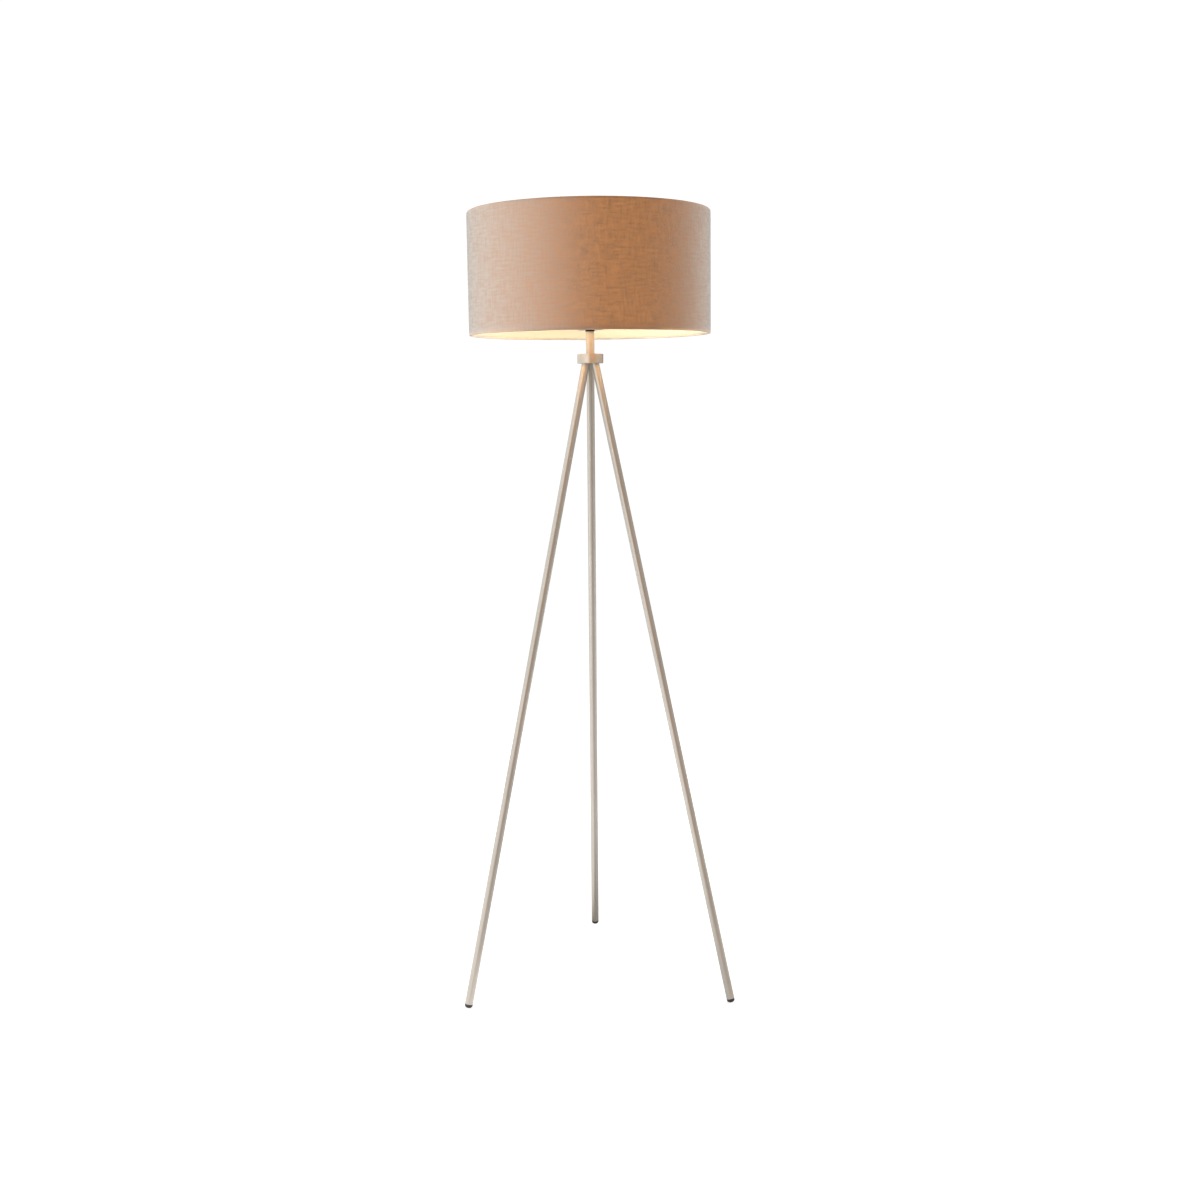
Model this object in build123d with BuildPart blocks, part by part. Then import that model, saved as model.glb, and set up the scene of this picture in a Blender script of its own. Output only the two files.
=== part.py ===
"""Tripod floor lamp: three splayed tube legs, a round hub, a short stem and a fabric drum shade.

Millimetres, +Z up. The origin is on the floor, on the axis that the stem and the shade share.
The rear leg points along +Y, and the two front legs stand at 210 and 330 degrees.
"""

from build123d import *
from math import atan, cos, degrees, hypot, radians, sin
import os

# ---------------------------------------------------------------- driving dimensions
overall_height = 1475.0
shade_diameter = 450.0
shade_height = 223.0

# tripod
foot_radius = 287.0          # leg axis to lamp axis, at the floor
leg_gap_at_hub = 2.32        # between neighbouring legs, at the hub's underside
leg_diameter = 15.0
leg_wall = 1.2
leg_azimuths = {"rear": 90.0, "left": 210.0, "right": 330.0}

# foot glides
glide_height = 7.5           # visible part, along the leg
glide_round = 5.0
glide_plug_length = 15.0
glide_plug_clearance = 0.1

# leg joints in the hub
stud_diameter = 10.0         # hollow M10 x 1 nipple
stud_bore = 6.5
stud_in_hub = 8.0
stud_in_leg = 16.0
leg_insert_length = 22.0
leg_seat_clearance = 0.15    # around the leg's end in the hub's pocket
leg_end_margin = 0.05        # leg's square end above the hub's underside, at its lowest

# hub and stem
hub_diameter = 49.0
hub_height = 17.5
hub_chamfer = 0.6
wireway_diameter = 9.0
wireway_depth = 5.5          # below the rod's bore
stem_diameter = 16.0
stem_wall = 1.5
stem_length = 41.0
collar_diameter = 17.6
collar_height = 3.0
collar_round = 0.6

# threaded rod, nut and earth tag
rod_diameter = 10.0          # hollow M10 x 1 rod
rod_bore = 7.0
rod_in_hub = 6.0
rod_nut_flats = 14.0
rod_nut_height = 4.0
rod_end_past_nut = 0.5
tag_diameter = 17.0
tag_thickness = 1.0
tag_tail_length = 6.0
tag_tail_width = 5.0
tag_tail_overlap = 1.0       # tail into the tag's round part

# lampholder
holder_rise = 9.5            # holder's base above the shade's lower edge
holder_diameter = 40.0
holder_wall = 1.8
holder_height = 48.0
holder_floor = 2.5
holder_flange_overhang = 4.0  # flange past the holder's side, under the carrier ring
holder_flange_height = 2.5
holder_ledge_width = 1.7
wiring_chamber_height = 6.0
holder_fit_clearance = 0.2   # insert inside the holder
insert_base_height = 11.0
insert_sleeve_height = 22.0
retainer_height = 5.0
retainer_bore = 29.6
contact_bore = 27.3          # screw contact's inside, for a 27 mm cap
contact_wall = 0.6
contact_height = 20.0
contact_gap = 1.0            # screw contact above the insert's floor
centre_contact_diameter = 8.0
centre_contact_height = 1.0
rivet_diameter = 3.0
rivet_length = 6.0
terminal_count = 2
terminal_screw_radius = 12.5
terminal_head_diameter = 5.6
terminal_head_height = 1.6
terminal_shank_diameter = 3.0
terminal_shank_length = 8.0

# shade
wire_diameter = 3.6
fabric_thickness = 0.6
lining_thickness = 0.5
hem_height = 5.5             # fabric turned in over each wire
lining_to_wire_gap = 0.4
notch_clearance = 0.6        # around each spoke where it passes the hem
carrier_ring_width = 5.0
carrier_ring_height = 2.4
carrier_clearance = 0.08     # running fit on the holder
spoke_diameter = 3.4
spoke_seat_drop = 1.2        # spoke's axis above the wire's centre, at the wire
spoke_azimuths = {"rear": 90.0, "left": 210.0, "right": 330.0}
shade_ring_inset = 0.5       # shade ring's edge inside the carrier ring's
shade_ring_height = 5.5
shade_ring_clearance = 0.06  # running fit on the holder
shade_ring_gap = 0.1         # ring above the carrier
shade_ring_notches = 12
shade_ring_notch_radius = 1.2

# lamp (bulb)
lamp_gap = 0.1               # centre contact to the lamp's tip
lamp_cap_clearance = 0.4     # radial, lamp cap in the screw contact
lamp_tip_diameter = 9.0
lamp_tip_height = 1.6
lamp_insulator_height = 3.5
lamp_insulator_small = 11.0
lamp_cap_height = 22.0
lamp_cap_wall = 0.5
lamp_body_plug = 6.0
lamp_body_wall = 1.4
lamp_neck_diameter = 28.0
lamp_body_height = 36.0
lamp_diameter = 60.0
lamp_shoulder_diameter = 55.0
lamp_shoulder_slope = 0.35   # outward per unit of height, where the body meets the globe
globe_height = 46.0
globe_wall = 1.2
board_thickness = 1.6
board_clearance = 1.2

# cable outlet near the foot of the rear leg
outlet_distance = 70.0       # from the floor, along the leg
outlet_bore = 6.2
grommet_barrel_diameter = 8.2
grommet_flange_diameter = 10.8
grommet_flange_rise = 1.6    # above the leg's crown
grommet_inner_reach = 1.0    # past the leg's inner wall

# ---------------------------------------------------------------- levels and radii
shade_bottom_z = overall_height - shade_height
holder_base_z = shade_bottom_z + holder_rise
stem_top_z = holder_base_z - collar_height
hub_top_z = stem_top_z - stem_length
hub_bottom_z = hub_top_z - hub_height

leg_radius = leg_diameter / 2
leg_bore_radius = leg_radius - leg_wall
leg_top_radius = (leg_diameter + leg_gap_at_hub) / (2 * sin(radians(180 / len(leg_azimuths))))
splay = degrees(atan((foot_radius - leg_top_radius) / hub_bottom_z))
# the leg's square end is wholly inside the hub's pocket
leg_end_z = hub_bottom_z + leg_radius * sin(radians(splay)) + leg_end_margin
leg_end_distance = leg_end_z / cos(radians(splay))

rod_bottom_z = hub_top_z - rod_in_hub
holder_flange_diameter = holder_diameter + 2 * holder_flange_overhang
holder_floor_z = holder_base_z + holder_floor
rod_nut_z = holder_floor_z + tag_thickness
rod_top_z = rod_nut_z + rod_nut_height + rod_end_past_nut
insert_base_z = holder_floor_z + wiring_chamber_height
insert_floor_z = insert_base_z + insert_base_height
insert_top_z = insert_floor_z + insert_sleeve_height
holder_bore_radius = holder_diameter / 2 - holder_wall
insert_radius = holder_bore_radius - holder_fit_clearance
contact_radius = contact_bore / 2 + contact_wall

carrier_ring_z = holder_base_z + holder_flange_height
carrier_bore_radius = holder_diameter / 2 + carrier_clearance
carrier_outer_radius = carrier_bore_radius + carrier_ring_width
shade_ring_z = carrier_ring_z + carrier_ring_height + shade_ring_gap

shade_radius = shade_diameter / 2
wire_centre_radius = shade_radius - fabric_thickness - wire_diameter / 2
bottom_wire_z = shade_bottom_z + fabric_thickness + wire_diameter / 2
top_wire_z = overall_height - fabric_thickness - wire_diameter / 2
hem_radius = wire_diameter / 2 + fabric_thickness

lamp_tip_z = insert_floor_z + centre_contact_height + lamp_gap
insulator_z = lamp_tip_z + lamp_tip_height
lamp_cap_z = insulator_z + lamp_insulator_height
lamp_cap_top_z = lamp_cap_z + lamp_cap_height
lamp_cap_radius = contact_bore / 2 - lamp_cap_clearance
lamp_body_top_z = lamp_cap_top_z + lamp_body_height


# ---------------------------------------------------------------- helpers
def leg_plane(azimuth, distance=0.0):
    """A plane square to a leg's axis, its x axis outwards, at a distance up the leg."""
    a, s = radians(azimuth), radians(splay)
    along = Vector(-sin(s) * cos(a), -sin(s) * sin(a), cos(s))
    outward = Vector(cos(s) * cos(a), cos(s) * sin(a), sin(s))
    foot = Vector(foot_radius * cos(a), foot_radius * sin(a), 0)
    return Plane(origin=foot + along * distance, x_dir=outward, z_dir=along)


def tube(outer_radius, inner_radius, plane, length):
    """A straight tube that stands on a plane."""
    with BuildPart() as made:
        with BuildSketch(plane):
            Circle(outer_radius)
            Circle(inner_radius, mode=Mode.SUBTRACT)
        extrude(amount=length)
    return made


def ring_wire(z):
    """A round wire bent into a ring on the shade's axis."""
    with BuildPart() as made:
        with BuildSketch(Plane.XZ):
            with Locations((wire_centre_radius, z)):
                Circle(wire_diameter / 2)
        revolve(axis=Axis.Z)
    return made


def save(made, name):
    """Labels a finished piece and writes it."""
    made.part.label = name
    export_step(made.part, f"parts/{name}.step")


os.makedirs("parts", exist_ok=True)


# ---------------------------------------------------------------- legs and feet
def make_leg(name, azimuth):
    """One leg tube. The rear one has a hole for the cable grommet, on its outer side."""
    with BuildPart() as leg:
        with BuildSketch(leg_plane(azimuth, glide_height)):
            Circle(leg_radius)
            Circle(leg_bore_radius, mode=Mode.SUBTRACT)
        extrude(amount=leg_end_distance - glide_height)
        if name == "rear":
            with BuildSketch(outlet_plane(azimuth)):
                Circle(grommet_barrel_diameter / 2)
            extrude(amount=leg_diameter, mode=Mode.SUBTRACT)
    save(leg, f"leg_{name}")


def outlet_plane(azimuth):
    """A plane through the leg's axis at the cable outlet, facing outwards from the lamp."""
    square = leg_plane(azimuth, outlet_distance)
    return Plane(origin=square.origin, x_dir=square.z_dir, z_dir=square.x_dir)


def make_glide(name, azimuth):
    """A rounded plastic foot with a plug up the tube, flat where it meets the floor."""
    with BuildPart() as glide:
        with BuildSketch(leg_plane(azimuth)):
            Circle(leg_radius)
        extrude(amount=glide_height)
        fillet(glide.faces().sort_by(Axis.Z)[0].edges(), glide_round)
        with BuildSketch(leg_plane(azimuth, glide_height)):
            Circle(leg_bore_radius - glide_plug_clearance)
        extrude(amount=glide_plug_length)
        split(bisect_by=Plane.XY, keep=Keep.TOP)
    save(glide, f"foot_glide_{name}")


def make_insert(name, azimuth):
    """A threaded bush pressed into the top of a leg."""
    start = leg_plane(azimuth, leg_end_distance - leg_insert_length)
    save(tube(leg_bore_radius, stud_diameter / 2, start, leg_insert_length), f"leg_insert_{name}")


def make_stud(name, azimuth):
    """A hollow nipple that screws the leg to the hub."""
    start = leg_plane(azimuth, leg_end_distance - stud_in_leg)
    save(tube(stud_diameter / 2, stud_bore / 2, start, stud_in_leg + stud_in_hub), f"leg_stud_{name}")


for leg_name, leg_azimuth in leg_azimuths.items():
    make_leg(leg_name, leg_azimuth)
    make_glide(leg_name, leg_azimuth)
    make_insert(leg_name, leg_azimuth)
    make_stud(leg_name, leg_azimuth)

with BuildPart() as grommet:
    with BuildSketch(outlet_plane(leg_azimuths["rear"])):
        Circle(grommet_flange_diameter / 2)
    extrude(amount=leg_radius + grommet_flange_rise)
    fillet(grommet.faces().sort_by(Axis.Y)[-1].edges(), grommet_flange_rise / 2)
    with BuildSketch(leg_plane(leg_azimuths["rear"], outlet_distance - grommet_flange_diameter)):
        Circle(leg_radius)
    extrude(amount=2 * grommet_flange_diameter, mode=Mode.SUBTRACT)
    with BuildSketch(outlet_plane(leg_azimuths["rear"]).offset(leg_bore_radius - grommet_inner_reach)):
        Circle(grommet_barrel_diameter / 2)
    extrude(amount=leg_wall + grommet_inner_reach + grommet_flange_rise / 2)
    with BuildSketch(outlet_plane(leg_azimuths["rear"])):
        Circle(outlet_bore / 2)
    extrude(amount=leg_diameter, mode=Mode.SUBTRACT)
save(grommet, "cable_grommet")

# ---------------------------------------------------------------- hub and stem
with BuildPart() as hub:
    with BuildSketch(Plane.XY.offset(hub_bottom_z)):
        Circle(hub_diameter / 2)
    extrude(amount=hub_height)
    chamfer(hub.edges(), hub_chamfer)
    for leg_azimuth in leg_azimuths.values():
        with BuildSketch(leg_plane(leg_azimuth, leg_end_distance)):
            Circle(leg_radius + leg_seat_clearance)
        extrude(amount=-leg_diameter, mode=Mode.SUBTRACT)
        with BuildSketch(leg_plane(leg_azimuth, leg_end_distance)):
            Circle(stud_diameter / 2)
        extrude(amount=stud_in_hub, mode=Mode.SUBTRACT)
    with BuildSketch(Plane.XY.offset(hub_top_z)):
        Circle(rod_diameter / 2)
    extrude(amount=-rod_in_hub, mode=Mode.SUBTRACT)
    with BuildSketch(Plane.XY.offset(rod_bottom_z)):
        Circle(wireway_diameter / 2)
    extrude(amount=-wireway_depth, mode=Mode.SUBTRACT)
save(hub, "hub")

stem = tube(stem_diameter / 2, stem_diameter / 2 - stem_wall, Plane.XY.offset(hub_top_z), stem_length)
save(stem, "stem")

rod = tube(rod_diameter / 2, rod_bore / 2, Plane.XY.offset(rod_bottom_z), rod_top_z - rod_bottom_z)
save(rod, "threaded_rod")

with BuildPart() as collar:
    with BuildSketch(Plane.XY.offset(stem_top_z)):
        Circle(collar_diameter / 2)
    extrude(amount=collar_height)
    fillet(collar.edges(), collar_round)
    with BuildSketch(Plane.XY.offset(stem_top_z)):
        Circle(rod_diameter / 2)
    extrude(amount=collar_height, mode=Mode.SUBTRACT)
save(collar, "stem_collar")

# ---------------------------------------------------------------- lampholder
with BuildPart() as holder_shell:
    with BuildSketch(Plane.XY.offset(holder_base_z)):
        Circle(holder_flange_diameter / 2)
    extrude(amount=holder_flange_height)
    with BuildSketch(Plane.XY.offset(holder_base_z)):
        Circle(holder_diameter / 2)
    extrude(amount=holder_height)
    with BuildSketch(Plane.XY.offset(holder_floor_z)):
        Circle(holder_bore_radius - holder_ledge_width)
    extrude(amount=holder_height, mode=Mode.SUBTRACT)
    with BuildSketch(Plane.XY.offset(insert_base_z)):
        Circle(holder_bore_radius)
    extrude(amount=holder_height, mode=Mode.SUBTRACT)
    with BuildSketch(Plane.XY.offset(holder_base_z)):
        Circle(rod_diameter / 2)
    extrude(amount=holder_floor, mode=Mode.SUBTRACT)
save(holder_shell, "holder_shell")

with BuildPart() as holder_insert:
    with BuildSketch(Plane.XY.offset(insert_base_z)):
        Circle(insert_radius)
    extrude(amount=insert_base_height + insert_sleeve_height)
    with BuildSketch(Plane.XY.offset(insert_floor_z)):
        Circle(contact_radius)
    extrude(amount=insert_sleeve_height, mode=Mode.SUBTRACT)
    with BuildSketch(Plane.XY.offset(insert_floor_z)):
        Circle(rivet_diameter / 2)
    extrude(amount=-rivet_length, mode=Mode.SUBTRACT)
    with BuildSketch(Plane.XY.offset(insert_base_z)):
        with PolarLocations(terminal_screw_radius, terminal_count):
            Circle(terminal_shank_diameter / 2)
    extrude(amount=terminal_shank_length, mode=Mode.SUBTRACT)
save(holder_insert, "holder_insert")

with BuildPart() as terminal_screws:
    with BuildSketch(Plane.XY.offset(insert_base_z)):
        with PolarLocations(terminal_screw_radius, terminal_count):
            Circle(terminal_shank_diameter / 2)
    extrude(amount=terminal_shank_length)
    with BuildSketch(Plane.XY.offset(insert_base_z)):
        with PolarLocations(terminal_screw_radius, terminal_count):
            Circle(terminal_head_diameter / 2)
    extrude(amount=-terminal_head_height)
save(terminal_screws, "terminal_screws")

contact_plane = Plane.XY.offset(insert_floor_z + contact_gap)
screw_contact = tube(contact_radius, contact_bore / 2, contact_plane, contact_height)
save(screw_contact, "screw_contact")

with BuildPart() as centre_contact:
    with BuildSketch(Plane.XY.offset(insert_floor_z)):
        Circle(centre_contact_diameter / 2)
    extrude(amount=centre_contact_height)
    with BuildSketch(Plane.XY.offset(insert_floor_z)):
        Circle(rivet_diameter / 2)
    extrude(amount=-rivet_length)
save(centre_contact, "centre_contact")

retainer = tube(holder_bore_radius, retainer_bore / 2, Plane.XY.offset(insert_top_z), retainer_height)
save(retainer, "holder_retainer")

with BuildPart() as rod_nut:
    with BuildSketch(Plane.XY.offset(rod_nut_z)):
        RegularPolygon(rod_nut_flats / 2, 6, major_radius=False)
        Circle(rod_diameter / 2, mode=Mode.SUBTRACT)
    extrude(amount=rod_nut_height)
save(rod_nut, "rod_nut")

with BuildPart() as earth_tag:
    with BuildSketch(Plane.XY.offset(holder_floor_z)):
        Circle(tag_diameter / 2)
        with Locations((0, (tag_diameter + tag_tail_length) / 2 - tag_tail_overlap)):
            Rectangle(tag_tail_width, tag_tail_length)
        Circle(rod_diameter / 2, mode=Mode.SUBTRACT)
    extrude(amount=tag_thickness)
save(earth_tag, "earth_tag")

# ---------------------------------------------------------------- shade
save(ring_wire(top_wire_z), "shade_top_wire")
save(ring_wire(bottom_wire_z), "shade_bottom_wire")


def spoke_line():
    """How a spoke runs: its radius and height at the carrier ring, and at the bottom wire."""
    inner = (carrier_outer_radius - carrier_ring_width / 2, carrier_ring_z + carrier_ring_height / 2)
    outer = (wire_centre_radius, bottom_wire_z + spoke_seat_drop)
    return inner, outer


def spoke_plane(azimuth):
    """A plane square to a spoke, at its inner end, facing outwards."""
    (r_in, z_in), (r_out, z_out) = spoke_line()
    a = radians(azimuth)
    run = Vector((r_out - r_in) * cos(a), (r_out - r_in) * sin(a), z_out - z_in)
    return Plane(origin=(r_in * cos(a), r_in * sin(a), z_in), x_dir=(-sin(a), cos(a), 0), z_dir=run)


def spoke_length():
    (r_in, z_in), (r_out, z_out) = spoke_line()
    return hypot(r_out - r_in, z_out - z_in)


def make_spoke(name, azimuth):
    """A straight wire from the carrier ring to the bottom wire, coped to fit both."""
    with BuildPart() as spoke:
        with BuildSketch(spoke_plane(azimuth)):
            Circle(spoke_diameter / 2)
        extrude(amount=spoke_length())
        with BuildSketch(Plane.XZ):
            with Locations((wire_centre_radius, bottom_wire_z)):
                Circle(wire_diameter / 2)
        revolve(axis=Axis.Z, mode=Mode.SUBTRACT)
        with BuildSketch(Plane.XY.offset(carrier_ring_z)):
            Circle(carrier_outer_radius)
        extrude(amount=spoke_diameter, both=True, mode=Mode.SUBTRACT)
    spoke_body = spoke.solids().sort_by(SortBy.VOLUME)[-1]
    with BuildPart() as kept:
        add(spoke_body)
    save(kept, f"shade_spoke_{name}")


for spoke_name, spoke_azimuth in spoke_azimuths.items():
    make_spoke(spoke_name, spoke_azimuth)

carrier_ring = tube(
    carrier_outer_radius, carrier_bore_radius, Plane.XY.offset(carrier_ring_z), carrier_ring_height
)
save(carrier_ring, "carrier_ring")

with BuildPart() as shade_ring:
    shade_ring_radius = carrier_outer_radius - shade_ring_inset
    with BuildSketch(Plane.XY.offset(shade_ring_z)):
        Circle(shade_ring_radius)
        with PolarLocations(shade_ring_radius, shade_ring_notches):
            Circle(shade_ring_notch_radius, mode=Mode.SUBTRACT)
        Circle(holder_diameter / 2 + shade_ring_clearance, mode=Mode.SUBTRACT)
    extrude(amount=shade_ring_height)
save(shade_ring, "shade_ring")

with BuildPart() as shade_fabric:
    with BuildSketch(Plane.XZ):
        inner_radius = wire_centre_radius - hem_radius
        wire_inside = wire_centre_radius - wire_diameter / 2
        with BuildLine():
            # down the outside of the cloth, round the bottom wire and back, then the same at the top
            wall_out = Line((shade_radius, top_wire_z), (shade_radius, bottom_wire_z))
            low_out = ThreePointArc(
                wall_out @ 1, (wire_centre_radius, shade_bottom_z), (inner_radius, bottom_wire_z)
            )
            low_hem = Line(low_out @ 1, (inner_radius, shade_bottom_z + hem_height))
            low_end = Line(low_hem @ 1, (wire_inside, shade_bottom_z + hem_height))
            low_back = Line(low_end @ 1, (wire_inside, bottom_wire_z))
            low_in = ThreePointArc(
                low_back @ 1,
                (wire_centre_radius, bottom_wire_z - wire_diameter / 2),
                (shade_radius - fabric_thickness, bottom_wire_z),
            )
            wall_in = Line(low_in @ 1, (shade_radius - fabric_thickness, top_wire_z))
            top_in = ThreePointArc(
                wall_in @ 1,
                (wire_centre_radius, top_wire_z + wire_diameter / 2),
                (wire_inside, top_wire_z),
            )
            top_back = Line(top_in @ 1, (wire_inside, overall_height - hem_height))
            top_end = Line(top_back @ 1, (inner_radius, overall_height - hem_height))
            top_hem = Line(top_end @ 1, (inner_radius, top_wire_z))
            ThreePointArc(top_hem @ 1, (wire_centre_radius, overall_height), wall_out @ 0)
        make_face()
    revolve(axis=Axis.Z)
    for spoke_azimuth in spoke_azimuths.values():
        with BuildSketch(spoke_plane(spoke_azimuth)):
            Circle(spoke_diameter / 2 + notch_clearance)
        extrude(amount=spoke_length(), mode=Mode.SUBTRACT)
save(shade_fabric, "shade_fabric")

lining_bottom_z = bottom_wire_z + wire_diameter / 2 + lining_to_wire_gap
lining_height = top_wire_z - wire_diameter / 2 - lining_to_wire_gap - lining_bottom_z
lining_radius = shade_radius - fabric_thickness
lining_plane = Plane.XY.offset(lining_bottom_z)
lining = tube(lining_radius, lining_radius - lining_thickness, lining_plane, lining_height)
save(lining, "shade_lining")

# ---------------------------------------------------------------- lamp (bulb)
with BuildPart() as lamp_tip:
    with BuildSketch(Plane.XY.offset(lamp_tip_z)):
        Circle(lamp_tip_diameter / 2)
    extrude(amount=lamp_tip_height)
    fillet(lamp_tip.faces().sort_by(Axis.Z)[0].edges(), lamp_tip_height / 2)
save(lamp_tip, "lamp_tip")

with BuildPart() as lamp_insulator:
    with BuildSketch(Plane.XY.offset(insulator_z)):
        Circle(lamp_insulator_small / 2)
    with BuildSketch(Plane.XY.offset(lamp_cap_z)):
        Circle(lamp_cap_radius - lamp_cap_wall)
    loft()
save(lamp_insulator, "lamp_insulator")

cap_plane = Plane.XY.offset(lamp_cap_z)
lamp_cap = tube(lamp_cap_radius, lamp_cap_radius - lamp_cap_wall, cap_plane, lamp_cap_height)
save(lamp_cap, "lamp_cap")

with BuildPart() as lamp_body:
    with BuildSketch(Plane.XZ):
        plug_radius = lamp_cap_radius - lamp_cap_wall
        with BuildLine():
            plug = Line((plug_radius, lamp_cap_top_z - lamp_body_plug), (plug_radius, lamp_cap_top_z))
            neck = Line(plug @ 1, (lamp_neck_diameter / 2, lamp_cap_top_z))
            flare = Spline(
                neck @ 1,
                (lamp_shoulder_diameter / 2, lamp_body_top_z),
                tangents=((0, 1), (lamp_shoulder_slope, 1)),
            )
            rim = Line(flare @ 1, (lamp_shoulder_diameter / 2 - lamp_body_wall, lamp_body_top_z))
            inner = Spline(
                rim @ 1,
                (lamp_neck_diameter / 2 - lamp_body_wall, lamp_cap_top_z),
                tangents=((-lamp_shoulder_slope, -1), (0, -1)),
            )
            down = Line(inner @ 1, (plug_radius - lamp_body_wall, lamp_cap_top_z - lamp_body_plug))
            Line(down @ 1, plug @ 0)
        make_face()
    revolve(axis=Axis.Z)
save(lamp_body, "lamp_body")

with BuildPart() as lamp_globe:
    with BuildSketch(Plane.XZ):
        globe_top = lamp_body_top_z + globe_height
        belly_z = globe_top - lamp_diameter / 2
        shoulder = lamp_shoulder_diameter / 2
        belly = lamp_diameter / 2
        with BuildLine():
            outside = Spline(
                (shoulder, lamp_body_top_z),
                (belly, belly_z),
                tangents=((lamp_shoulder_slope, 1), (0, 1)),
            )
            crown = CenterArc((0, belly_z), belly, 0, 90)
            Line(crown @ 1, (0, globe_top - globe_wall))
            under = CenterArc((0, belly_z), belly - globe_wall, 90, -90)
            inside = Spline(
                under @ 1,
                (shoulder - globe_wall, lamp_body_top_z),
                tangents=((0, -1), (-lamp_shoulder_slope, -1)),
            )
            Line(inside @ 1, outside @ 0)
        make_face()
    revolve(axis=Axis.Z)
save(lamp_globe, "lamp_globe")

with BuildPart() as lamp_board:
    with BuildSketch(Plane.XY.offset(lamp_body_top_z - board_thickness)):
        Circle(lamp_shoulder_diameter / 2 - lamp_body_wall - board_clearance)
    extrude(amount=board_thickness)
save(lamp_board, "lamp_board")
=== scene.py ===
import math

import bpy
from mathutils import Matrix, Vector


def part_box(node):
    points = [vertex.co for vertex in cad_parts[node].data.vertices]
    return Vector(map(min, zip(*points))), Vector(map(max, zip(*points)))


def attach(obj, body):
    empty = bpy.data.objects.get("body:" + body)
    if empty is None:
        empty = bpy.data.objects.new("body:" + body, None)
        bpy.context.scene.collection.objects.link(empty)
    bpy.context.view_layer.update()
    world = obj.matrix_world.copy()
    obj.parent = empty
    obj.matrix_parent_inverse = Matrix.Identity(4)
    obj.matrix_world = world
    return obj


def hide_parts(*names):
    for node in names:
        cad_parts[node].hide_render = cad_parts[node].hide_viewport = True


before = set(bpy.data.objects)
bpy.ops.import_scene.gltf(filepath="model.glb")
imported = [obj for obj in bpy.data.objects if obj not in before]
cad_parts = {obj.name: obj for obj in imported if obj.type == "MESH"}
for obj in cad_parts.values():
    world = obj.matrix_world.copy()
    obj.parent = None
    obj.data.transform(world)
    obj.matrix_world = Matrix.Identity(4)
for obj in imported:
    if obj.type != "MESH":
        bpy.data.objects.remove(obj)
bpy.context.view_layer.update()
MM = 0.001


# ------------------------------------------------------------------ camera
def make_camera():
    """Looks at the lamp from in front, a little below the shade, and tilts down to the feet."""
    yaw = Matrix.Rotation(math.radians(-1.30), 4, "Z")
    pitch = Matrix.Rotation(math.radians(90.0 - 7.995), 4, "X")
    roll = Matrix.Rotation(math.radians(-0.70), 4, "Z")
    data = bpy.data.cameras.new("camera")
    data.sensor_width = 36.0
    data.lens = 43.234
    data.clip_start = 0.05
    data.clip_end = 100.0
    camera = bpy.data.objects.new("camera", data)
    bpy.context.scene.collection.objects.link(camera)
    place = yaw @ Vector((12.60 * MM, -2734.55 * MM, 1136.31 * MM))
    camera.matrix_world = Matrix.Translation(place) @ yaw @ pitch @ roll
    bpy.context.scene.camera = camera


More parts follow.
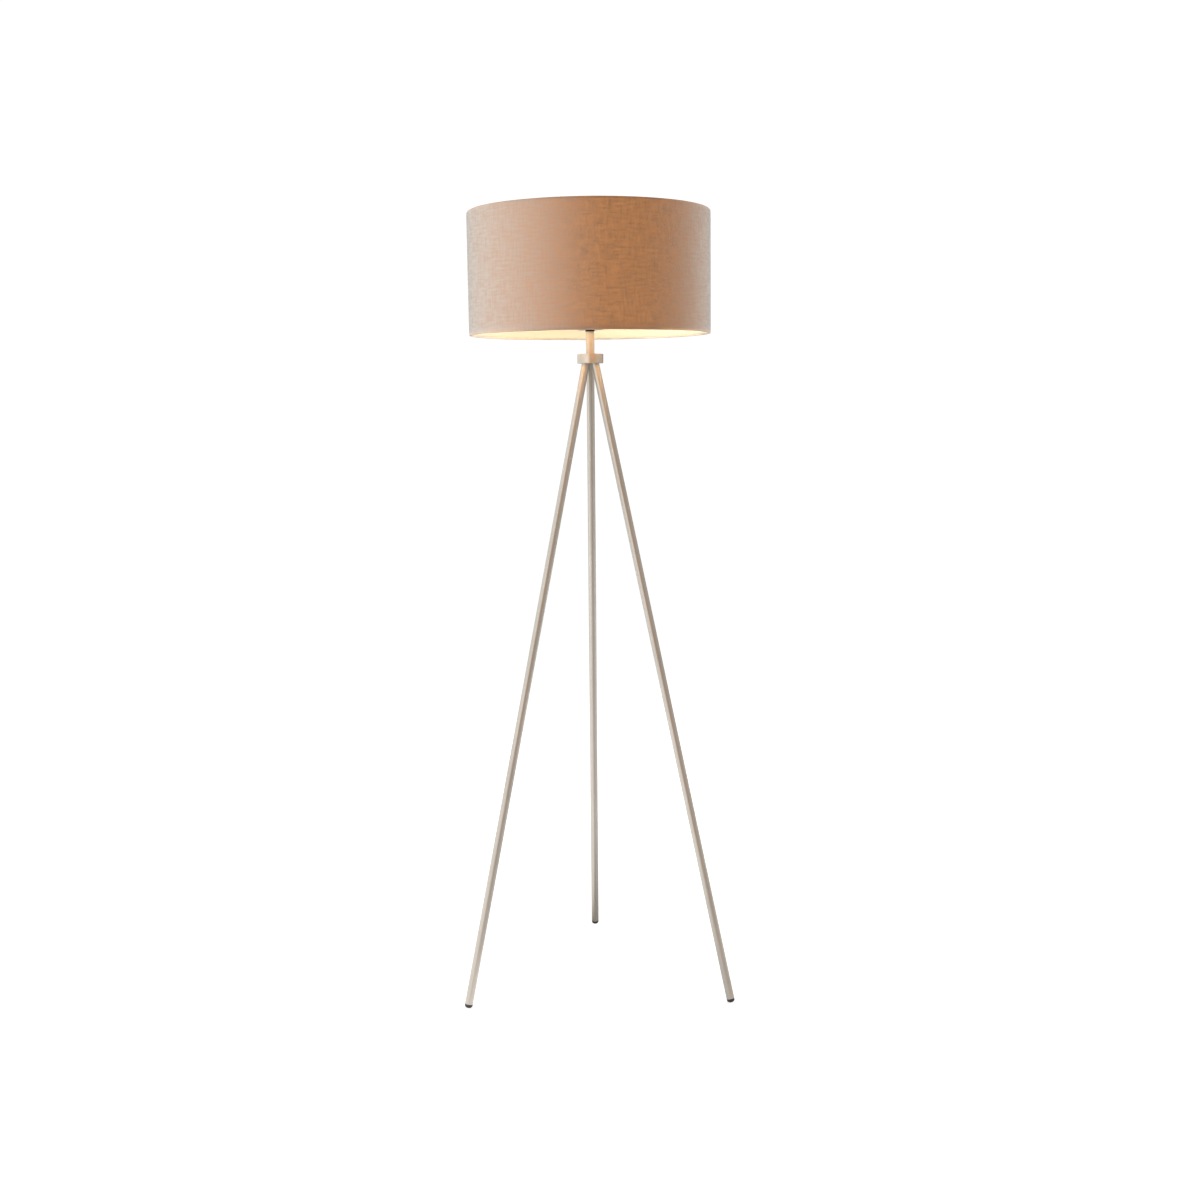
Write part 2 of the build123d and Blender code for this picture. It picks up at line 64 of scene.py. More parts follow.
# ------------------------------------------------------------------ shader graphs
class Graph:
    """Shader nodes. A plain value sets a socket, and another node's output is linked to it."""

    def __init__(self, name, world=None):
        self.material = world or bpy.data.materials.new(name)
        self.material.use_nodes = True
        self.tree = self.material.node_tree
        self.tree.nodes.clear()
        ending = "ShaderNodeOutputWorld" if world else "ShaderNodeOutputMaterial"
        self.output = self.tree.nodes.new(ending)

    def put(self, socket, value):
        if isinstance(value, bpy.types.NodeSocket):
            self.tree.links.new(value, socket)
        elif isinstance(value, tuple) and socket.type == "RGBA" and len(value) == 3:
            socket.default_value = (*value, 1.0)
        else:
            socket.default_value = value

    def node(self, kind, inputs, **settings):
        made = self.tree.nodes.new("ShaderNode" + kind)
        for key, value in settings.items():
            setattr(made, key, value)
        for key, value in inputs.items():
            self.put(made.inputs[key], value)
        return made

    def math(self, operation, a, b=0.0, c=0.0, clamp=False):
        made = self.node("Math", {0: a, 1: b, 2: c}, operation=operation, use_clamp=clamp)
        return made.outputs[0]

    def combine(self, x, y, z=0.0):
        return self.node("CombineXYZ", {0: x, 1: y, 2: z}).outputs[0]

    def noise(self, vector, scale=1.0, detail=2.0, roughness=0.5):
        inputs = {"Vector": vector, "Scale": scale, "Detail": detail, "Roughness": roughness}
        return self.node("TexNoise", inputs).outputs[0]

    def stretched_noise(self, across, up, scales, seed=0.0, detail=2.0, roughness=0.5):
        """Noise over a wall, with its own scale each way. The seed sets one apart from another."""
        vector = self.combine(self.math("MULTIPLY", across, scales[0]),
                              self.math("MULTIPLY", up, scales[1]), seed)
        return self.noise(vector, 1.0, detail, roughness)

    def span(self, value, low, high, to_low=0.0, to_high=1.0, smooth=False):
        """Maps low..high to to_low..to_high, and holds it there outside."""
        inputs = {0: value, 1: low, 2: high, 3: to_low, 4: to_high}
        kind = "SMOOTHSTEP" if smooth else "LINEAR"
        return self.node("MapRange", inputs, interpolation_type=kind, clamp=True).outputs[0]

    def mix(self, factor, a, b):
        made = self.node("Mix", {0: factor}, data_type="RGBA")
        self.put(made.inputs[6], a)
        self.put(made.inputs[7], b)
        return made.outputs[2]

    def position(self):
        """The surface point in the row frame, as x, y and z."""
        point = self.node("TexCoord", {}).outputs["Object"]
        return self.node("SeparateXYZ", {0: point}).outputs

    def bump(self, height, distance, strength=1.0, normal=None):
        inputs = {"Height": height, "Distance": distance, "Strength": strength}
        if normal is not None:
            inputs["Normal"] = normal
        return self.node("Bump", inputs).outputs[0]

    def finish(self, **inputs):
        """Ends in a Principled surface. Keys are its socket names with _ for each space."""
        named = {key.replace("_", " "): value for key, value in inputs.items()}
        surface = self.node("BsdfPrincipled", named)
        self.tree.links.new(surface.outputs[0], self.output.inputs[0])
        return self.material


def around(graph):
    """Angle about the lamp's axis, zero at the front and cut at the back; radius; height."""
    x, y, z = graph.position()
    angle = graph.math("ARCTAN2", x, graph.math("MULTIPLY", y, -1.0))
    squares = graph.math("ADD", graph.math("MULTIPLY", x, x), graph.math("MULTIPLY", y, y))
    radius = graph.math("SQRT", squares)
    return angle, radius, z


# ------------------------------------------------------------------ sizes read from the frame
FABRIC_LOW, FABRIC_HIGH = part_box("shade_fabric")
SHADE_R = FABRIC_HIGH.x
SHADE_Z0 = FABRIC_LOW.z
SHADE_Z1 = FABRIC_HIGH.z
HEM = 5.5 * MM                   # cloth turned in over each wire
WIRE_R = 1.8 * MM                # radius of both wires
CLOTH = 0.6 * MM                 # thickness
SEAM = 0.0235                    # half-angle that the lap at the back covers
NICKEL = (0.60, 0.555, 0.495)    # base colour of the satin metal
SPOKE_ANGLES = (math.pi, math.radians(-60.0), math.radians(60.0))
DIFFUSE_ROOM = 0.012             # what cloth and plastic get from the world


# ------------------------------------------------------------------ materials
def cloth_material():
    """Slubby taupe cloth with a painted glow for the lamp's light through it, less at the wires,
    the hem and the seam.
    """
    g = Graph("taupe_cloth")
    angle, radius, z = around(g)
    run = g.math("MULTIPLY", angle, SHADE_R)
    inward = g.span(radius, SHADE_R - 4.6 * MM, SHADE_R - 3.4 * MM, 1.0, 0.0)
    pitch = 0.8 * MM
    a = g.math("DIVIDE", run, pitch)
    b = g.math("DIVIDE", z, pitch)
    warp_side = g.math("COSINE", g.math("MULTIPLY", g.math("FLOOR", a), math.pi))
    weft_side = g.math("COSINE", g.math("MULTIPLY", g.math("FLOOR", b), math.pi))
    wave_a = g.math("SINE", g.math("MULTIPLY", a, math.pi))
    wave_b = g.math("SINE", g.math("MULTIPLY", b, math.pi))
    warp_up = g.math("MULTIPLY_ADD", g.math("MULTIPLY", wave_b, warp_side), 0.5, 0.5)
    weft_up = g.math("MULTIPLY_ADD", g.math("MULTIPLY", wave_a, weft_side), -0.5, 0.5)
    warp = g.math("MULTIPLY", g.math("ABSOLUTE", wave_a), warp_up)
    weft = g.math("MULTIPLY", g.math("ABSOLUTE", wave_b), weft_up)
    threads = g.math("MAXIMUM", warp, weft)
    # thick places in the yarn: short level ones, longer upright ones, and broad cloudiness
    weft_slub = g.stretched_noise(run, z, (40.0, 250.0), 0.0, 1.0, 0.55)
    warp_slub = g.stretched_noise(run, z, (260.0, 38.0), 7.0, 1.0, 0.55)
    cloud = g.stretched_noise(run, z, (22.0, 30.0), 3.0, 3.0)
    fleck = g.math("MULTIPLY_ADD", warp_slub, 0.45, g.math("MULTIPLY", cloud, 0.12))
    fleck = g.math("MULTIPLY_ADD", weft_slub, 0.55, fleck)
    tone = g.span(fleck, 0.42, 0.70)
    colour = g.mix(tone, (0.41, 0.41, 0.386), (0.58, 0.585, 0.548))
    # painted shade: darker in the gaps between the yarns
    colour = g.mix(g.span(threads, 0.0, 0.7, 0.35, 0.0), colour, (0.22, 0.20, 0.18))
    # painted light: the turned-in hem inside is pale cream where the lamp lights it
    colour = g.mix(g.math("MULTIPLY", inward, 0.9), colour, (0.80, 0.74, 0.62))
    # the painted glow, standing in for the lamp's light through the cloth: less over the wires,
    # where the cloth is doubled by the hem, and at the seam
    # a band above the bottom hem turns paler and gets less of the painted glow
    bottom_band = g.span(z, SHADE_Z0 + 5.0 * MM, SHADE_Z0 + 15.0 * MM, 1.0, 0.0)
    low = g.span(z, SHADE_Z0 + 2.6 * MM, SHADE_Z0 + 5.2 * MM, 0.80, 1.0, smooth=True)
    high = g.span(z, SHADE_Z1 - 5.2 * MM, SHADE_Z1 - 2.6 * MM, 1.0, 0.80, smooth=True)
    clear = g.math("MULTIPLY", low, high)
    rolled = g.span(clear, 0.82, 0.98, 1.0, 0.0)
    seam = g.span(g.math("ABSOLUTE", angle), math.pi - SEAM - 0.001, math.pi - SEAM, 1.0, 0.72)
    clear = g.math("MULTIPLY", clear, seam)
    clear = g.math("MULTIPLY", clear, g.math("MULTIPLY_ADD", bottom_band, -0.12, 1.0))
    colour = g.mix(g.math("MULTIPLY", bottom_band, 0.22), colour, (0.72, 0.73, 0.70))
    weave_glow = g.math("MULTIPLY", g.span(fleck, 0.40, 0.72, 1.22, 0.78),
                        g.span(threads, 0.0, 1.0, 1.05, 0.97))
    # the painted glow fades as the cloth turns away, as the gaps between the yarns close
    facing = g.node("LayerWeight", {"Blend": 0.5}).outputs["Facing"]
    turned = g.math("MULTIPLY", facing, g.math("SUBTRACT", 1.0, g.math("MULTIPLY", rolled, 0.75)))
    open_gaps = g.math("POWER", g.math("SUBTRACT", 1.0, turned, clamp=True), 0.75)
    glow = g.math("MULTIPLY", g.math("MULTIPLY", clear, weave_glow), open_gaps)
    height = g.math("MULTIPLY_ADD", threads, 0.6, g.math("MULTIPLY", fleck, 0.9))
    return g.finish(
        Base_Color=colour, Roughness=0.88, Specular_IOR_Level=0.20,
        Sheen_Weight=0.12, Sheen_Roughness=0.45, Sheen_Tint=(1.0, 0.99, 0.97, 1.0),
        # painted glow colour: deep orange through the cloth, pale warm cream on the turned-in hem
        # inside
        Emission_Color=g.mix(inward, (1.0, 0.41, 0.135), (1.0, 0.84, 0.60)),
        Emission_Strength=g.math("MULTIPLY", glow, 0.385),
        Normal=g.bump(height, 0.16 * MM, 0.9),
    )


def lining_material():
    """Pale film with a faint grain, and a painted warm glow for the lamp's light on it from
    inside.
    """
    g = Graph("lining_film")
    angle, _, z = around(g)
    run = g.math("MULTIPLY", angle, SHADE_R)
    grain = g.stretched_noise(run, z, (500.0, 500.0), detail=3.0)
    sheet = g.stretched_noise(run, z, (9.0, 14.0))
    colour = g.mix(sheet, (0.84, 0.79, 0.68), (0.88, 0.84, 0.74))
    lap = g.span(g.math("ABSOLUTE", angle), math.pi - 0.040, math.pi - 0.038)
    colour = g.mix(g.math("MULTIPLY", lap, 0.22), colour, (0.55, 0.46, 0.34))
    return g.finish(
        Base_Color=colour, Roughness=0.55, Specular_IOR_Level=0.35,
        # painted glow: the lamp's light on the film
        Emission_Color=(1.0, 0.80, 0.50, 1.0), Emission_Strength=0.36,
        Normal=g.bump(grain, 0.05 * MM, 0.5),
    )


def nickel(name, axis, rough=0.34, colour=NICKEL):
    """Satin nickel on a tube, belt-ground round it, so that highlights spread along its length."""
    g = Graph(name)
    point = g.node("TexCoord", {}).outputs["Object"]
    measured = g.node("VectorMath", {0: point, 1: tuple(axis)}, operation="DOT_PRODUCT")
    along = measured.outputs["Value"]
    x, y, _ = g.node("SeparateXYZ", {0: point}).outputs
    lines = g.combine(g.math("MULTIPLY", along, 4200.0),
                      g.math("MULTIPLY", x, 30.0), g.math("MULTIPLY", y, 30.0))
    brush = g.noise(lines, 1.0, 2.0, 0.7)
    along_axis = g.node("VectorMath", {0: tuple(axis), 1: (0.0, 0.0, 0.0)}, operation="ADD")
    lengthwise = along_axis.outputs["Vector"]
    worn = g.noise(point, 9.0, 3.0, 0.55)
    tint = g.mix(g.span(worn, 0.35, 0.70), colour, tuple(c * 0.93 for c in colour))
    tint = g.mix(g.span(brush, 0.30, 0.75, 0.0, 0.30), tint, tuple(c * 0.82 for c in colour))
    roughness = g.math("ADD", g.span(worn, 0.3, 0.7, rough - 0.03, rough + 0.04),
                       g.span(brush, 0.3, 0.7, 0.0, 0.05))
    return g.finish(
        Base_Color=tint, Metallic=1.0, Roughness=roughness, Anisotropic=0.6, Tangent=lengthwise,
        Normal=g.bump(brush, 0.02 * MM, 0.35),
    )


def turned_nickel(name, rough=0.30, colour=NICKEL):
    """Satin nickel with the fine rings that turning leaves."""
    g = Graph(name)
    angle, radius, z = around(g)
    lines = g.combine(g.math("MULTIPLY", radius, 5200.0),
                      g.math("MULTIPLY", z, 5200.0), g.math("MULTIPLY", angle, 1.5))
    rings = g.noise(lines, 1.0, 2.0, 0.7)
    worn = g.noise(g.node("TexCoord", {}).outputs["Object"], 30.0, 3.0, 0.55)
    tint = g.mix(g.span(rings, 0.30, 0.75, 0.0, 0.35), colour, tuple(c * 0.80 for c in colour))
    roughness = g.math("ADD", g.span(worn, 0.3, 0.7, rough - 0.03, rough + 0.04),
                       g.span(rings, 0.3, 0.7, 0.0, 0.05))
    return g.finish(
        Base_Color=tint, Metallic=1.0, Roughness=roughness,
        Normal=g.bump(rings, 0.02 * MM, 0.35),
    )


def metal(name, dark, light, rough):
    """Plain metal with slight tarnish in clouds."""
    g = Graph(name)
    point = g.node("TexCoord", {}).outputs["Object"]
    cloud = g.noise(point, 160.0, 4.0, 0.6)
    fine = g.noise(point, 2400.0, 2.0, 0.6)
    return g.finish(
        Base_Color=g.mix(g.span(cloud, 0.30, 0.70), dark, light), Metallic=1.0,
        Roughness=g.span(cloud, 0.30, 0.70, rough + 0.10, rough),
        Normal=g.bump(fine, 0.03 * MM, 0.3),
    )


def moulded(name, dark, light, rough, grain=900.0, depth=0.05,
            emission=None, power=0.0, coat=0.0):
    """Moulded or painted surface with a fine grain and slight change of tone."""
    g = Graph(name)
    point = g.node("TexCoord", {}).outputs["Object"]
    fine = g.noise(point, grain, 3.0, 0.6)
    broad = g.noise(point, 60.0, 2.0, 0.5)
    inputs = {
        "Base_Color": g.mix(g.span(broad, 0.30, 0.70), dark, light),
        "Roughness": g.span(fine, 0.30, 0.70, rough - 0.04, rough + 0.06),
        "Normal": g.bump(fine, depth * MM, 0.5),
        "Coat_Weight": coat,
    }
    if emission:
        inputs["Emission_Color"] = (*emission, 1.0)
        inputs["Emission_Strength"] = g.span(broad, 0.3, 0.7, power * 0.97, power)
    return g.finish(**inputs)


def dress(names, material):
    """Gives CAD nodes a material."""
    for name in names:
        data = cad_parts[name].data
        data.materials.clear()
        data.materials.append(material)


# ------------------------------------------------------------------ lathe-made pieces
def lathe(name, profile, angles, shape):
    """Turns a closed (radius, height) outline about the axis. shape may move each point."""
    rows = len(profile)
    points = []
    for angle in angles:
        for k, (r, z) in enumerate(profile):
            r2, z2 = shape(r, z, angle, k)
            points.append((r2 * math.sin(angle), -r2 * math.cos(angle), z2))
    faces = []
    turns = len(angles)
    for i in range(turns):
        j = (i + 1) % turns
        for k in range(rows):
            m = (k + 1) % rows
            faces.append((i * rows + k, j * rows + k, j * rows + m, i * rows + m))
    mesh = bpy.data.meshes.new(name)
    mesh.from_pydata(points, [], faces)
    mesh.validate()
    mesh.update()
    made = bpy.data.objects.new(name, mesh)
    bpy.context.scene.collection.objects.link(made)
    for polygon in mesh.polygons:
        polygon.use_smooth = True
    return made


def wobble(angle, parts):
    """A smooth, repeatable unevenness round the ring, about -1 to 1."""
    return sum(weight * math.sin(turns * angle + phase) for turns, phase, weight in parts)


def even_angles(count):
    """Even steps round the axis, with none at the cut at the back."""
    return [-math.pi + 2 * math.pi * (i + 0.5) / count for i in range(count)]


def shade_angles():
    """Even steps round the shade, with finer ones at the spokes. The rear one is at the seam."""
    fine_step, least_step, fine_each_way = 0.0021, 0.0009, 12
    angles = {round(angle, 6) for angle in even_angles(288)}
    for centre in SPOKE_ANGLES:
        for i in range(-fine_each_way, fine_each_way + 1):
            angle = centre + i * fine_step
            angle = (angle + math.pi) % (2 * math.pi) - math.pi
            angles.add(round(angle, 6))
    kept = []
    for angle in sorted(angles):
        if not kept or angle - kept[-1] > least_step:
            kept.append(angle)
    return kept


def turn_gap(a, b):
    """The smaller angle between two directions."""
    return abs((a - b + math.pi) % (2 * math.pi) - math.pi)


def clamp01(value):
    return min(1.0, max(0.0, value))


def make_cloth():
    """The shade's cloth: one sheet, drawn round both wires and turned in, lapped at the back."""
    wire = SHADE_R - CLOTH - WIRE_R
    hem_r = WIRE_R + CLOTH
    low, high = SHADE_Z0 + hem_r, SHADE_Z1 - hem_r
    lap_half, lap_fold, lap_thickness = 8 * MM, 5.4 * MM, 0.45 * MM
    groove_depth, groove_from_wire, groove_width = 0.22 * MM, 4.2 * MM, 1.6 * MM
    bead_height = 8 * MM
    notch_half = 3.4 * MM
    profile = []
    tags = []

    def add(r, z, tag):
        profile.append((r, z))
        tags.append(tag)

    wall = 26
    for i in range(wall + 1):                       # outside, downwards
        add(SHADE_R, high + (low - high) * i / wall, "out")
    for i in range(1, 12):                          # under the bottom wire
        t = math.pi * i / 12
        add(wire + hem_r * math.cos(t), low - hem_r * math.sin(t), "out")
    for i in range(5):                              # up the turned-in hem
        add(wire - hem_r, low + (SHADE_Z0 + HEM - low) * i / 4, "low_hem")
    for i in range(5):                              # its edge, and down its hidden side
        add(wire - WIRE_R, SHADE_Z0 + HEM + (low - SHADE_Z0 - HEM) * i / 4, "low_hem")
    for i in range(1, 8):
        t = math.pi * i / 8
        add(wire - WIRE_R * math.cos(t), low - WIRE_R * math.sin(t), "in")
    for i in range(13):                             # inside of the wall, upwards
        add(SHADE_R - CLOTH, low + (high - low) * i / 12, "in")
    for i in range(1, 8):                           # over the top wire
        t = math.pi * i / 8
        add(wire + WIRE_R * math.cos(t), high + WIRE_R * math.sin(t), "in")
    for i in range(5):
        add(wire - WIRE_R, high + (SHADE_Z1 - HEM - high) * i / 4, "high_hem")
    for i in range(5):
        add(wire - hem_r, SHADE_Z1 - HEM + (high - SHADE_Z1 + HEM) * i / 4, "high_hem")
    for i in range(1, 12):
        t = math.pi * i / 12
        add(wire - hem_r * math.cos(t), high + hem_r * math.sin(t), "out")

    def shape(r, z, angle, k):
        tag = tags[k]
        slow = wobble(angle, ((3, 0.4, 0.5), (7, 1.9, 0.3), (17, 0.8, 0.2)))
        quick = wobble(angle, ((41, 0.3, 0.5), (67, 2.1, 0.3), (113, 1.2, 0.2)))
        if tag == "out":
            near = max(0.0, 1.0 - min(abs(z - SHADE_Z0), abs(SHADE_Z1 - z)) / bead_height)
            # the cloth lies over the wire as a slight bead, with a shallow groove above the wire
            r += near * (0.12 * quick - 0.05) * MM
            edge = min(abs(z - low), abs(high - z))
            if low <= z <= high:
                r -= groove_depth * math.exp(-((edge - groove_from_wire) / groove_width) ** 2)
            z += near * 0.25 * slow * MM * (1 if z < low else 0.6)
            # the lap at the back: a folded edge on one side, easing in on the other
            s = (angle - math.pi if angle > 0 else angle + math.pi) * SHADE_R
            if abs(s) < lap_half and r > wire:
                folded = clamp01((lap_fold - s) / (0.5 * MM))
                easing = clamp01((s + lap_half) / (3 * MM))
                r += lap_thickness * folded * easing
        elif tag in ("low_hem", "high_hem"):
            cut = (0.45 * slow + 0.30 * quick) * MM
            if tag == "low_hem":
                share = max(0.0, (z - low) / (SHADE_Z0 + HEM - low))
                z += share * cut
                gap = min(turn_gap(angle, spoke) for spoke in SPOKE_ANGLES) * wire
                # a notch in the turned-in edge lets each spoke through
                opened = clamp01((notch_half - gap) / (1.0 * MM))
                z = z + (min(z, low - 0.9 * MM) - z) * opened
            else:
                share = max(0.0, (high - z) / (high - SHADE_Z1 + HEM))
                z -= share * cut
            if r < wire - WIRE_R - 0.3 * MM:
                r += 0.10 * MM * quick * share
        return r, z

    made = lathe("shade_cloth", profile, shade_angles(), shape)
    made.data.materials.append(cloth_material())
    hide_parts("shade_fabric")
    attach(made, "shade")


def make_holder():
    """The lampholder's shell, with the thread that the shade ring screws down."""
    low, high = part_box("holder_shell")
    carrier_low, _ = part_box("carrier_ring")
    insert_low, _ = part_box("holder_insert")
    rod_low, rod_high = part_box("threaded_rod")
    overhang, wall, ledge, base = 4.0 * MM, 1.8 * MM, 1.7 * MM, 2.5 * MM
    pitch, depth, bevel = 2.5 * MM, 0.75 * MM, 0.5 * MM
    flange_r, flange_z = high.x, carrier_low.z
    outer_r = flange_r - overhang
    bore_r = outer_r - wall
    ledge_r = bore_r - ledge
    rod_r = (rod_high.x - rod_low.x) / 2
    profile = [(rod_r, low.z), (flange_r - bevel, low.z), (flange_r, low.z + bevel),
               (flange_r, flange_z - bevel), (flange_r - bevel, flange_z), (outer_r, flange_z)]
    first = len(profile)
    rows = 150
    for i in range(1, rows):
        profile.append((outer_r, flange_z + (high.z - flange_z) * i / rows))
    last = len(profile)
    profile += [(outer_r - bevel, high.z), (bore_r, high.z), (bore_r, insert_low.z),
                (ledge_r, insert_low.z), (ledge_r, low.z + base), (rod_r, low.z + base)]

    def shape(r, z, angle, k):
        if first <= k < last:
            turn = (z / pitch - angle / (2 * math.pi)) % 1.0
            flank = clamp01((abs(turn - 0.5) - 0.12) / 0.26)
            # the thread runs out above the flange and at the rim
            ease = min(1.0, (z - flange_z) / (4.0 * MM), (high.z - z) / (1.2 * MM) + 0.2)
            r -= depth * (1.0 - flank) * max(0.0, ease)
        return r, z

    made = lathe("holder_threaded", profile, even_angles(120), shape)
    made.data.materials.append(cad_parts["holder_shell"].data.materials[0])
    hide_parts("holder_shell")
    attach(made, "stand")


def make_weld(name, place, along, material, phase):
    """A small uneven bead of weld round a spoke, where it meets the ring or the wire."""
    outline = [(1.50, 0.9), (2.10, 0.75), (2.34, 0.35), (2.42, -0.15),
               (2.28, -0.75), (2.02, -1.25), (1.80, -1.75), (1.50, -2.1)]
    profile = [(r * MM, z * MM) for r, z in outline]

    def shape(r, z, angle, k):
        lump = wobble(angle, ((2, phase, 0.5), (5, 2.0 * phase, 0.3), (9, 0.7 + phase, 0.2)))
        if 0 < k < len(profile) - 1:
            r += 0.10 * MM * lump
            z += 0.16 * MM * lump
        return r, z

    made = lathe(name, profile, even_angles(36), shape)
    turned = along.to_track_quat("Z", "Y").to_matrix().to_4x4()
    made.data.transform(Matrix.Translation(place) @ turned)
    made.data.materials.append(material)
    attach(made, "shade")


def make_welds():
    low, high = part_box("carrier_ring")
    ring_r, ring_z = high.x, (low.z + high.z) / 2
    wire_r = SHADE_R - CLOTH - WIRE_R
    wire_z = SHADE_Z0 + CLOTH + WIRE_R + 1.2 * MM
    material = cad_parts["carrier_ring"].data.materials[0]
    for phase, (side, azimuth) in enumerate((("rear", 90.0), ("left", 210.0), ("right", 330.0))):
        out = Vector((math.cos(math.radians(azimuth)), math.sin(math.radians(azimuth)), 0.0))
        inner = out * ring_r + Vector((0.0, 0.0, ring_z))
        outer = out * wire_r + Vector((0.0, 0.0, wire_z))
        along = (outer - inner).normalized()
        make_weld("weld_ring_" + side, inner + along * 0.4 * MM, -along, material, 0.6 + phase)
        make_weld("weld_wire_" + side, outer - along * 2.6 * MM, along, material, 1.9 + phase)


# ------------------------------------------------------------------ light and floor
def aim(item, place, target):
    place, target = Vector(place), Vector(target)
    item.location = place
    item.rotation_euler = (target - place).to_track_quat("-Z", "Y").to_euler()


def soft_box(name, place, target, width, height, power,
             colour=(1.0, 1.0, 1.0), glossy=False):
    data = bpy.data.lights.new(name, "AREA")
    data.shape = "RECTANGLE"
    data.size = width
    data.size_y = height
    data.energy = power
    data.color = colour
    item = bpy.data.objects.new(name, data)
    bpy.context.scene.collection.objects.link(item)
    item.visible_camera = False
    item.visible_glossy = glossy
    aim(item, place, target)


def make_lamp_light():
    """The lit lamp: a warm sphere of light round the globe, seen only by what it lights."""
    globe_low, globe_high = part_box("lamp_globe")
    data = bpy.data.lights.new("lamp_light", "POINT")
    data.energy = 5.0
    data.color = (1.0, 0.78, 0.50)
    data.shadow_soft_size = (globe_high.x - globe_low.x) / 2 + 2 * MM
    item = bpy.data.objects.new("lamp_light", data)
    bpy.context.scene.collection.objects.link(item)
    item.location = (globe_low + globe_high) / 2
    item.visible_camera = False


def room_light(g, x, y):
    """What polished metal sees: a bright left side, and a dimmer front and right."""
    left = g.span(x, -0.36, -0.08, 1.0, 0.0)
    bright = g.math("MULTIPLY_ADD", left, 0.68, 0.48)
    bright = g.math("ADD", bright, g.span(x, 0.30, 1.0, 0.0, 0.14))
    bright = g.math("ADD", bright, g.span(g.math("ABSOLUTE", x), 0.0, 0.22, -0.12, 0.0))
    bright = g.math("ADD", bright, g.span(y, 0.0, 0.5, 0.0, 0.10))
    return g.math("ADD", bright, g.span(y, 0.62, 0.88, 0.0, -0.40)), left


def make_floor():
    """A wide pale floor just under the feet, bright to the camera and a room to metal."""
    reach, count, below = 14.0, 8, -0.0004
    row = count + 1
    steps = [reach * (i / count - 0.5) * 2 for i in range(row)]
    points = [(x, y, below) for x in steps for y in steps]
    corners = [i * row + j for i in range(count) for j in range(count)]
    faces = [(c, c + row, c + row + 1, c + 1) for c in corners]
    mesh = bpy.data.meshes.new("floor")
    mesh.from_pydata(points, [], faces)
    floor = bpy.data.objects.new("floor", mesh)
    bpy.context.scene.collection.objects.link(floor)
    g = Graph("floor_pale")
    grain = g.noise(g.node("TexCoord", {}).outputs["Object"], 3.0, 2.0)
    paths = g.node("LightPath", {}).outputs
    x, y, _ = g.position()
    _, radius, _ = around(g)
    seen = g.math("MULTIPLY", paths["Is Camera Ray"], g.span(radius, 0.4, 2.2, 0.82, 1.02))
    bright, _ = room_light(g, g.math("DIVIDE", x, radius), g.math("DIVIDE", y, radius))
    seen = g.math("MULTIPLY_ADD", g.math("MULTIPLY", paths["Is Glossy Ray"], bright), 0.78, seen)
    floor.data.materials.append(g.finish(
        Base_Color=g.mix(grain, (0.50, 0.50, 0.50), (0.52, 0.52, 0.52)),
        Roughness=0.9, Specular_IOR_Level=0.1,
        Emission_Color=(1.0, 1.0, 1.0, 1.0), Emission_Strength=seen,
    ))


def make_world():
    """White to the camera. Metal sees a room; cloth is left to the soft boxes and the lamp."""
    world = bpy.data.worlds.new("studio")
    bpy.context.scene.world = world
    g = Graph("studio", world)
    direction = g.node("TexCoord", {}).outputs["Generated"]
    x, y, z = g.node("SeparateXYZ", {0: direction}).outputs
    paths = g.node("LightPath", {}).outputs
    bright, left = room_light(g, x, y)
    level = g.span(g.math("ABSOLUTE", z), 0.03, 0.16, 1.0, 0.0)
    ahead = g.span(y, -0.92, -0.35, 1.0, 0.0)
    patch = g.math("MULTIPLY", level, ahead)
    bright = g.math("MULTIPLY_ADD", patch, 0.75, bright)
    strength = g.math("MULTIPLY_ADD", paths["Is Camera Ray"], 1.05, DIFFUSE_ROOM)
    strength = g.math("MULTIPLY_ADD", paths["Is Glossy Ray"], bright, strength)
    warm = g.mix(patch, (1.0, 0.93, 0.86), (1.0, 0.40, 0.05))
    colour = g.mix(g.math("MAXIMUM", left, paths["Is Camera Ray"]), warm, (1.0, 1.0, 1.0))
    light = g.node("Background", {"Color": colour, "Strength": strength})
    g.tree.links.new(light.outputs[0], g.output.inputs[0])


# ------------------------------------------------------------------ build
make_camera()
make_world()
make_floor()
bpy.context.scene.view_settings.view_transform = "Standard"

soft_box("key_left", (-2.586, -0.27, 1.25), (0.0, 0.0, 1.0), 0.8, 2.4, 67.0)
soft_box("fill_right", (2.20, 1.42, 1.25), (0.0, 0.0, 1.0), 1.6, 2.4, 88.0)
soft_box("top", (0.0, 0.2, 3.6), (0.0, 0.0, 0.0), 3.0, 3.0, 6.0)
soft_box("under_shade", (0.0, 0.0, SHADE_Z0 + 3 * MM), (0.0, 0.0, 0.0), 0.38, 0.38, 0.5,
         (1.0, 0.42, 0.06), glossy=True)
make_lamp_light()

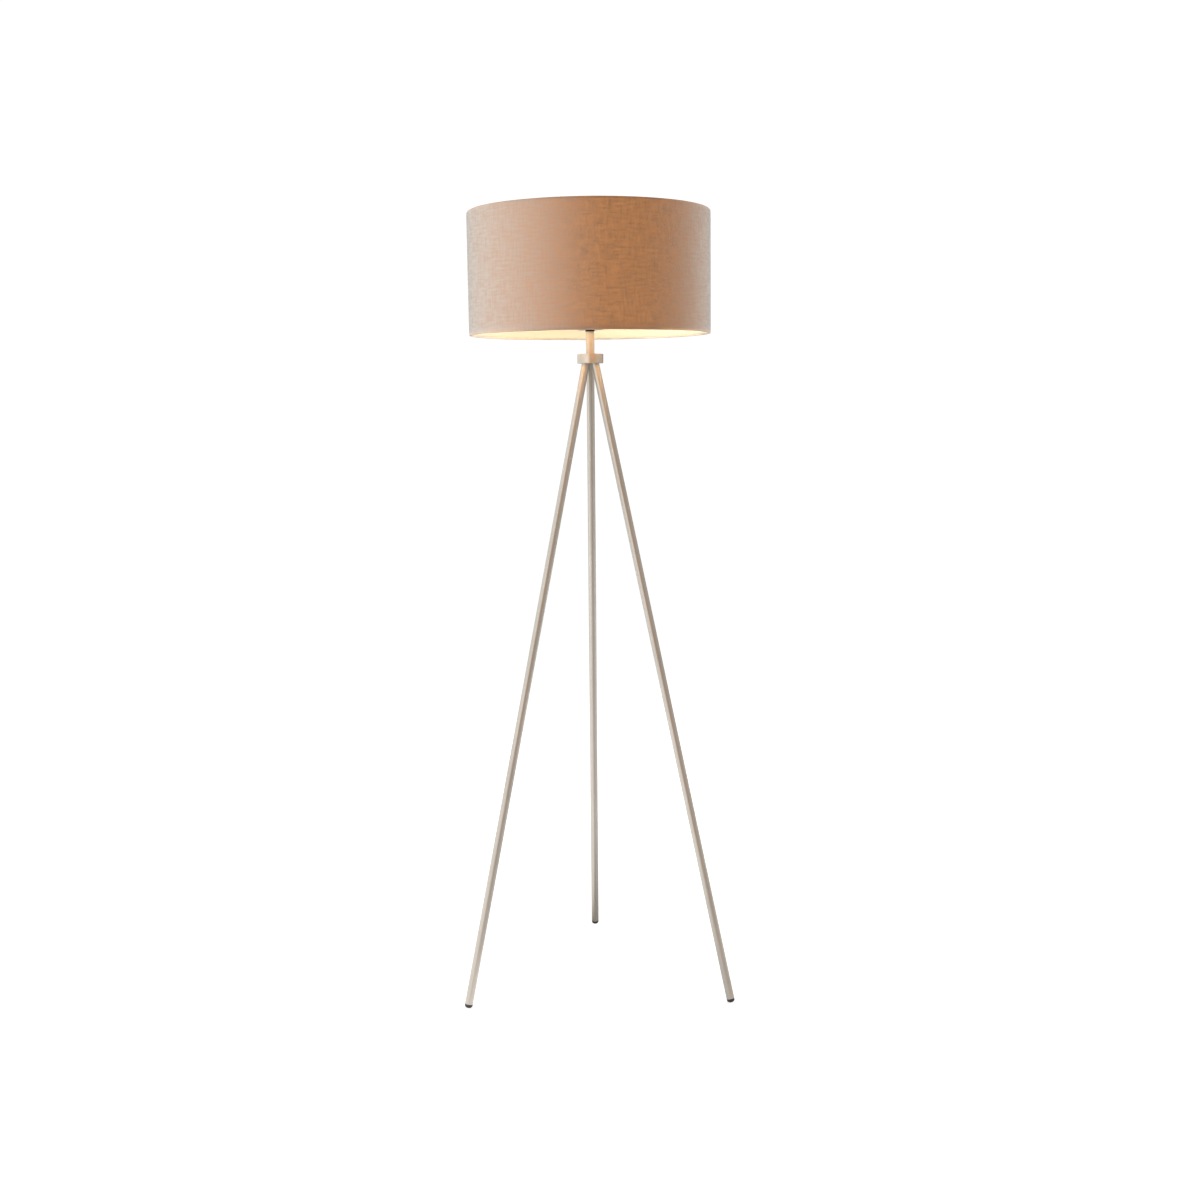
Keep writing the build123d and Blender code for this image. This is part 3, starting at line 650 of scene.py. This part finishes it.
for leg in ("rear", "left", "right"):
    low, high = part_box("leg_" + leg)
    foot_low, foot_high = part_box("foot_glide_" + leg)
    middle = (low + high) / 2
    foot = (foot_low + foot_high) / 2
    axis = (middle - foot).normalized()
    dress(["leg_" + leg], nickel("satin_nickel_" + leg, axis))
dress(["hub"], turned_nickel("satin_nickel_hub"))
dress(["stem"], nickel("satin_nickel_stem", (0.0, 0.0, 1.0)))
dress(["stem_collar"],
      metal("collar_bronze", (0.045, 0.026, 0.016), (0.085, 0.050, 0.030), 0.32))
dress(["foot_glide_rear", "foot_glide_left", "foot_glide_right"],
      moulded("dark_plastic", (0.075, 0.068, 0.060), (0.10, 0.092, 0.083), 0.38))
dress(["cable_grommet"],
      moulded("grommet_plastic", (0.03, 0.029, 0.028), (0.045, 0.043, 0.041), 0.45))
dress(["leg_insert_rear", "leg_insert_left", "leg_insert_right", "leg_stud_rear",
       "leg_stud_left", "leg_stud_right", "threaded_rod", "rod_nut"],
      metal("zinc_steel", (0.42, 0.42, 0.40), (0.58, 0.57, 0.54), 0.34))
dress(["earth_tag", "screw_contact", "centre_contact", "terminal_screws"],
      metal("brass", (0.55, 0.38, 0.16), (0.78, 0.58, 0.28), 0.26))
dress(["holder_shell", "shade_ring"],
      moulded("holder_plastic", (0.76, 0.74, 0.69), (0.82, 0.80, 0.75), 0.36))
dress(["holder_insert", "holder_retainer"],
      moulded("porcelain", (0.80, 0.78, 0.73), (0.86, 0.84, 0.80), 0.18, coat=0.6))
dress(["carrier_ring", "shade_spoke_rear", "shade_spoke_left", "shade_spoke_right",
       "shade_top_wire", "shade_bottom_wire"],
      moulded("white_steel", (0.74, 0.72, 0.68), (0.82, 0.80, 0.76), 0.34, 1400.0, 0.06))
dress(["shade_lining"], lining_material())
dress(["lamp_cap"], metal("lamp_nickel", (0.52, 0.51, 0.48), (0.70, 0.69, 0.66), 0.24))
dress(["lamp_tip"], metal("solder", (0.42, 0.42, 0.42), (0.60, 0.60, 0.58), 0.36))
dress(["lamp_insulator"],
      moulded("black_glass", (0.010, 0.010, 0.012), (0.016, 0.016, 0.018), 0.12, coat=0.5))
dress(["lamp_body", "lamp_board"],
      moulded("lamp_white", (0.80, 0.79, 0.76), (0.86, 0.85, 0.82), 0.42))
dress(["lamp_globe"],
      moulded("lamp_opal", (0.88, 0.85, 0.78), (0.92, 0.89, 0.82), 0.40, 400.0, 0.02,
              emission=(1.0, 0.86, 0.62), power=2.6))
make_cloth()
make_holder()
make_welds()
